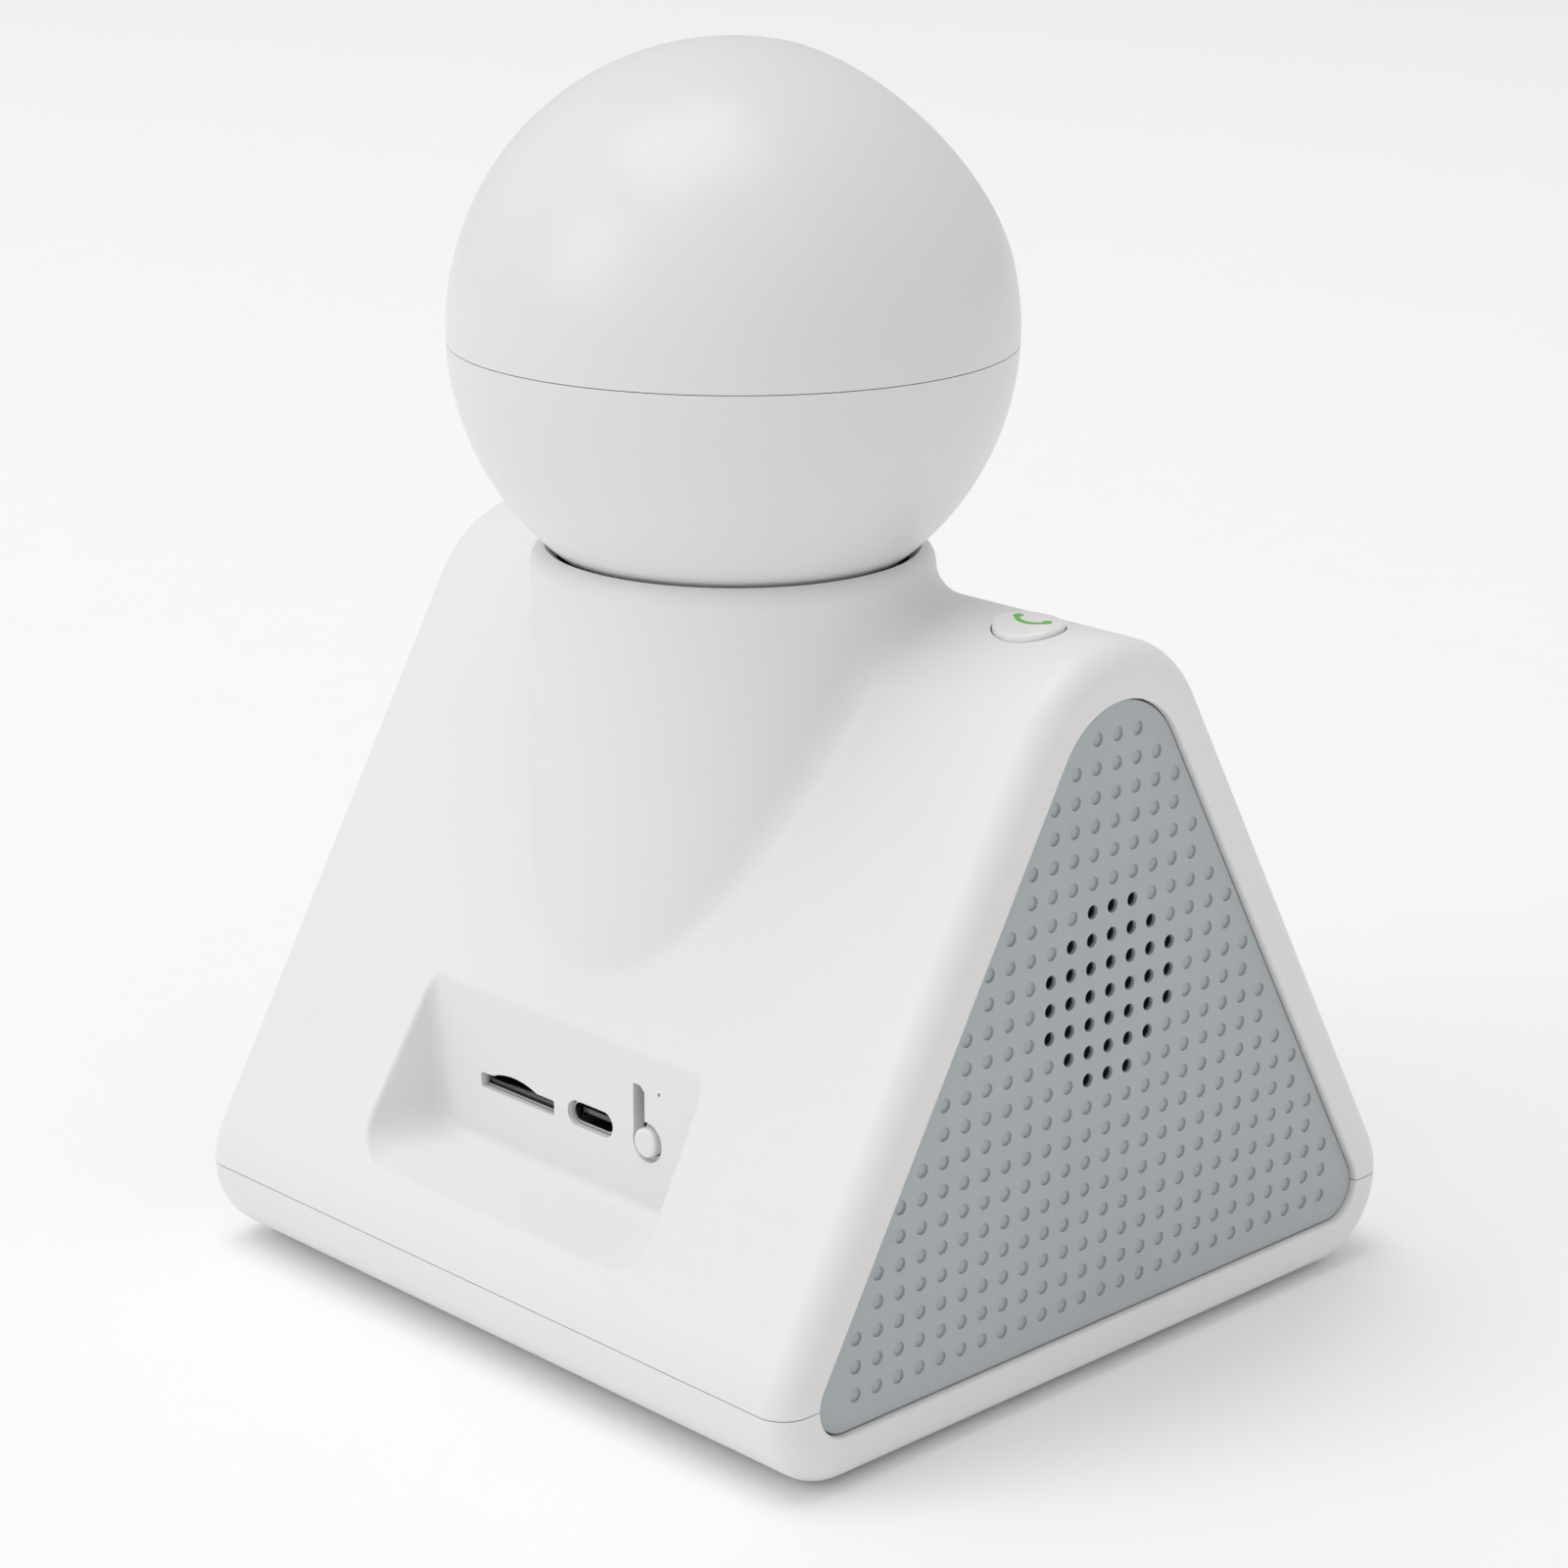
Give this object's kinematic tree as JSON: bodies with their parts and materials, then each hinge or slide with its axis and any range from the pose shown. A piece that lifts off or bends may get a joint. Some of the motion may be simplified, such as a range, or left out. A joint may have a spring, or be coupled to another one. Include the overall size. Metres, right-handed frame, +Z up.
{
  "type": "smart speaker",
  "caption": "Wedge-shaped desk video-call speaker with perforated side grilles, a rear port recess, a call button and a pan-and-tilt ball camera on a round collar.",
  "frame": {"origin": "middle of the body's footprint, on the plane that the rubber feet stand on", "axes": "+Z up, the display slope and the lens face -Y, the ports face +Y, the speaker side is -X"},
  "size_m": [0.1236, 0.1246, 0.1795],
  "materials": {
    "housing_white": "satin",
    "head_white": "satin",
    "grille_grey": "matt",
    "button_white": "gloss",
    "icon_green": "gloss",
    "foot_rubber": "matt",
    "screw_steel": "bright",
    "steel": "satin",
    "socket_metal": "bright",
    "black_gloss": "gloss",
    "display_glass": "gloss",
    "display_black": "satin",
    "circuit_green": "satin",
    "chip_black": "matt",
    "speaker_paper": "matt",
    "magnet": "matt",
    "gasket_foam": "matt",
    "gear_nylon": "satin",
    "chassis_black": "satin",
    "lens_black": "satin",
    "lens_glass": "coated",
    "led_lens": "gloss"
  },
  "bodies": {
    "base": {"upper_housing": "housing_white", "bottom_cover": "housing_white", "right_grille": "grille_grey", "left_grille": "grille_grey", "rubber_foot_1": "foot_rubber", "rubber_foot_2": "foot_rubber", "rubber_foot_3": "foot_rubber", "rubber_foot_4": "foot_rubber", "cover_screws": "screw_steel", "speaker_frame": "steel", "speaker_cone": "speaker_paper", "speaker_magnet": "magnet", "speaker_gasket": "gasket_foam", "speaker_screws": "screw_steel", "display_window": "display_glass", "display_module": "display_black", "display_bracket": "steel", "main_board": "circuit_green", "board_screws": "screw_steel", "board_chips": "chip_black", "wireless_shield": "steel", "usb_c_shell": "socket_metal", "usb_c_tongue": "black_gloss", "microsd_socket": "socket_metal", "microsd_carrier": "black_gloss", "reset_switch": "chip_black", "microphone": "chip_black", "call_board": "circuit_green", "call_switch": "chip_black", "pan_motor": "steel", "motor_screws": "screw_steel", "pan_washer": "gear_nylon"},
    "pan_stage": {"pan_turntable": "chassis_black", "pan_gear": "gear_nylon", "pan_retaining_ring": "gear_nylon", "yoke_post": "chassis_black", "slot_shield": "chassis_black", "tilt_motor": "steel"},
    "pan_pinion": {"pan_pinion": "gear_nylon"},
    "tilt_pinion": {"tilt_pinion": "gear_nylon"},
    "head": {"head_upper_shell": "head_white", "head_lower_shell": "head_white", "head_frame": "chassis_black", "frame_screws": "screw_steel", "head_screws": "screw_steel", "tilt_axle": "steel", "tilt_gear": "gear_nylon", "camera_board": "circuit_green", "lens_barrel": "lens_black", "lens_glass": "lens_glass", "ir_leds": "led_lens", "lens_window": "black_gloss"},
    "call_button": {"call_button": "button_white", "call_icon": "icon_green"},
    "reset_button": {"reset_button": "housing_white"}
  },
  "joints": [
    {"name": "head_pan", "type": "hinge", "parent": "base", "child": "pan_stage", "pos_m": [0, 0.0126, 0.0892], "axis": [0, 0, 1], "range_deg": [-175, 175]},
    {"name": "head_tilt", "type": "hinge", "parent": "pan_stage", "child": "head", "pos_m": [0, 0.0126, 0.14011], "axis": [1, 0, 0], "range_deg": [-15, 25]},
    {"name": "pan_pinion_spin", "type": "hinge", "parent": "base", "child": "pan_pinion", "pos_m": [0, -0.0042, 0.0902], "axis": [0, 0, 1], "range_deg": [-440, 440]},
    {"name": "tilt_pinion_spin", "type": "hinge", "parent": "pan_stage", "child": "tilt_pinion", "pos_m": [0, 0.02576, 0.13251], "axis": [1, 0, 0], "range_deg": [-55, 34]},
    {"name": "call_press", "type": "slide", "parent": "base", "child": "call_button", "axis": [0, 0, -1], "range_m": [0, 0.0006], "stiffness_N_per_m": 600, "springref_m": -0.0006},
    {"name": "reset_press", "type": "slide", "parent": "base", "child": "reset_button", "axis": [0, -1, 0], "range_m": [0, 0.0004], "stiffness_N_per_m": 600, "springref_m": -0.0006}
  ],
  "couplings": [
    {"joint": "pan_pinion_spin", "follows": "head_pan", "ratio": -2.5},
    {"joint": "tilt_pinion_spin", "follows": "head_tilt", "ratio": -2.1667}
  ]
}
